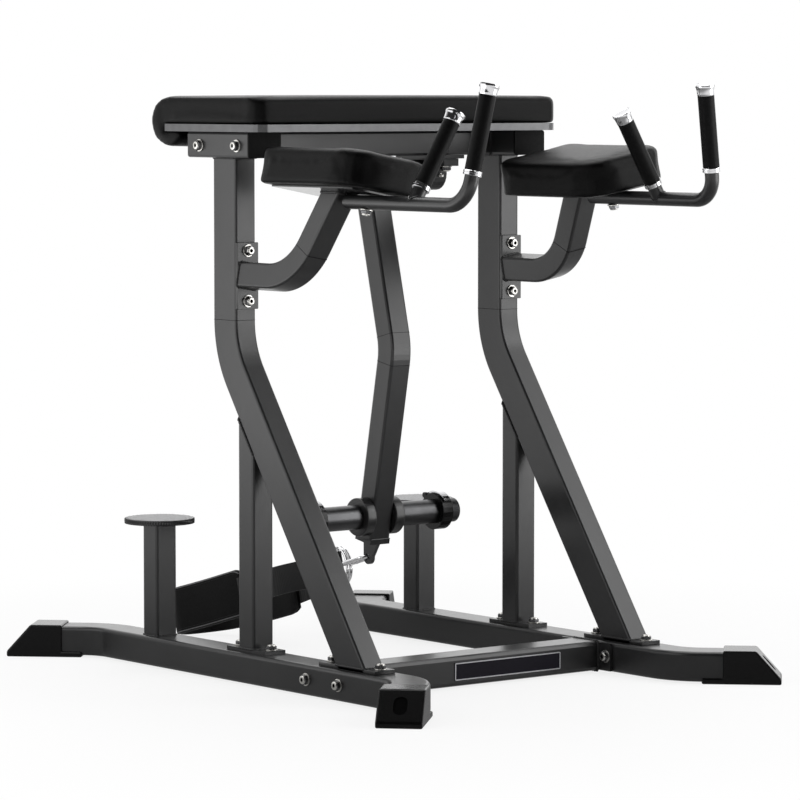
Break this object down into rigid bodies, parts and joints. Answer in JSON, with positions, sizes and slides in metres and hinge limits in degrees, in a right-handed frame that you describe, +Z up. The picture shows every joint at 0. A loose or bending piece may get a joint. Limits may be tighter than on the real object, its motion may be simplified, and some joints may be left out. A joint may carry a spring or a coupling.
{
  "type": "reverse hyperextension machine",
  "caption": "Strength machine with a raised belly pad, padded elbow rests with handles, and a swinging pendulum below that carries a weight horn and an ankle strap.",
  "frame": {"origin": "on the floor, in the middle of the machine's footprint", "axes": "+Z up, +X across the machine to the user's right, the user holds the handles at -Y and the legs hang at +Y"},
  "size_m": [1.0326, 1.3666, 1.1908],
  "materials": {
    "powder_coat": "satin charcoal powder coat",
    "black_plastic": "moulded, fine grain",
    "grey_board": "satin",
    "plate_face": "satin",
    "black_vinyl": "matte upholstery vinyl",
    "cast_housing": "painted casting",
    "black_rubber": "matte",
    "chrome": "polished",
    "bright_steel": "turned bar",
    "black_webbing": "woven"
  },
  "bodies": {
    "frame": {"rail_left": "powder_coat", "rail_right": "powder_coat", "front_crossbar": "powder_coat", "bent_post_left": "powder_coat", "bent_post_right": "powder_coat", "rear_post_left": "powder_coat", "rear_post_right": "powder_coat", "step_post_left": "powder_coat", "step_post_right": "powder_coat", "step_plate_left": "powder_coat", "step_plate_right": "powder_coat", "top_bracket_left": "powder_coat", "top_bracket_right": "powder_coat", "top_beam": "powder_coat", "elbow_arm_left": "powder_coat", "elbow_arm_right": "powder_coat", "handle_bar_left": "powder_coat", "handle_bar_right": "powder_coat", "elbow_board_left": "black_plastic", "elbow_board_right": "black_plastic", "foot_cap_front_left": "black_plastic", "foot_cap_front_right": "black_plastic", "foot_cap_rear_left": "black_plastic", "foot_cap_rear_right": "black_plastic", "bracket_cap_left": "black_plastic", "bracket_cap_right": "black_plastic", "table_board": "grey_board", "table_cushion": "black_vinyl", "elbow_cushion_left": "black_vinyl", "elbow_cushion_right": "black_vinyl", "bearing_housing_left": "cast_housing", "bearing_housing_right": "cast_housing", "front_grip_left": "black_rubber", "front_grip_right": "black_rubber", "inner_grip_left": "black_rubber", "inner_grip_right": "black_rubber", "front_collar_left": "chrome", "front_collar_right": "chrome", "inner_collar_left": "chrome", "inner_collar_right": "chrome", "front_cap_left": "chrome", "front_cap_right": "chrome", "inner_cap_left": "chrome", "inner_cap_right": "chrome", "name_plate": "plate_face"},
    "pendulum": {"pendulum_arm": "powder_coat", "stop_collar_left": "powder_coat", "stop_collar_right": "powder_coat", "pivot_shaft": "bright_steel", "weight_horn_left": "bright_steel", "weight_horn_right": "bright_steel"},
    "strap": {"carabiner": "chrome", "strap_ring_left": "chrome", "strap_ring_right": "chrome", "ankle_strap": "black_webbing"},
    "lock_left": {"lock_collar_left": "black_plastic"},
    "lock_right": {"lock_collar_right": "black_plastic"},
    "lever_left": {"lock_lever_left": "chrome"},
    "lever_right": {"lock_lever_right": "chrome"}
  },
  "joints": [
    {"name": "pendulum_swing", "type": "hinge", "parent": "frame", "child": "pendulum", "pos_m": [0, 0.0565, 1.0052], "axis": [1, 0, 0], "range_deg": [-35, 80]},
    {"name": "strap_swing", "type": "hinge", "parent": "pendulum", "child": "strap", "pos_m": [0, 0.06, 0.2224], "axis": [1, 0, 0], "range_deg": [-115, 60]},
    {"name": "lock_left_slide", "type": "slide", "parent": "pendulum", "child": "lock_left", "axis": [1, 0, 0], "range_m": [-0.01, 0.095]},
    {"name": "lock_right_slide", "type": "slide", "parent": "pendulum", "child": "lock_right", "axis": [1, 0, 0], "range_m": [-0.095, 0.01]},
    {"name": "lever_left_open", "type": "hinge", "parent": "lock_left", "child": "lever_left", "pos_m": [-0.1625, 0.0636, 0.3399], "axis": [-1, 0, 0], "range_deg": [0, 60]},
    {"name": "lever_right_open", "type": "hinge", "parent": "lock_right", "child": "lever_right", "pos_m": [0.1625, 0.0636, 0.3399], "axis": [-1, 0, 0], "range_deg": [0, 60]}
  ]
}
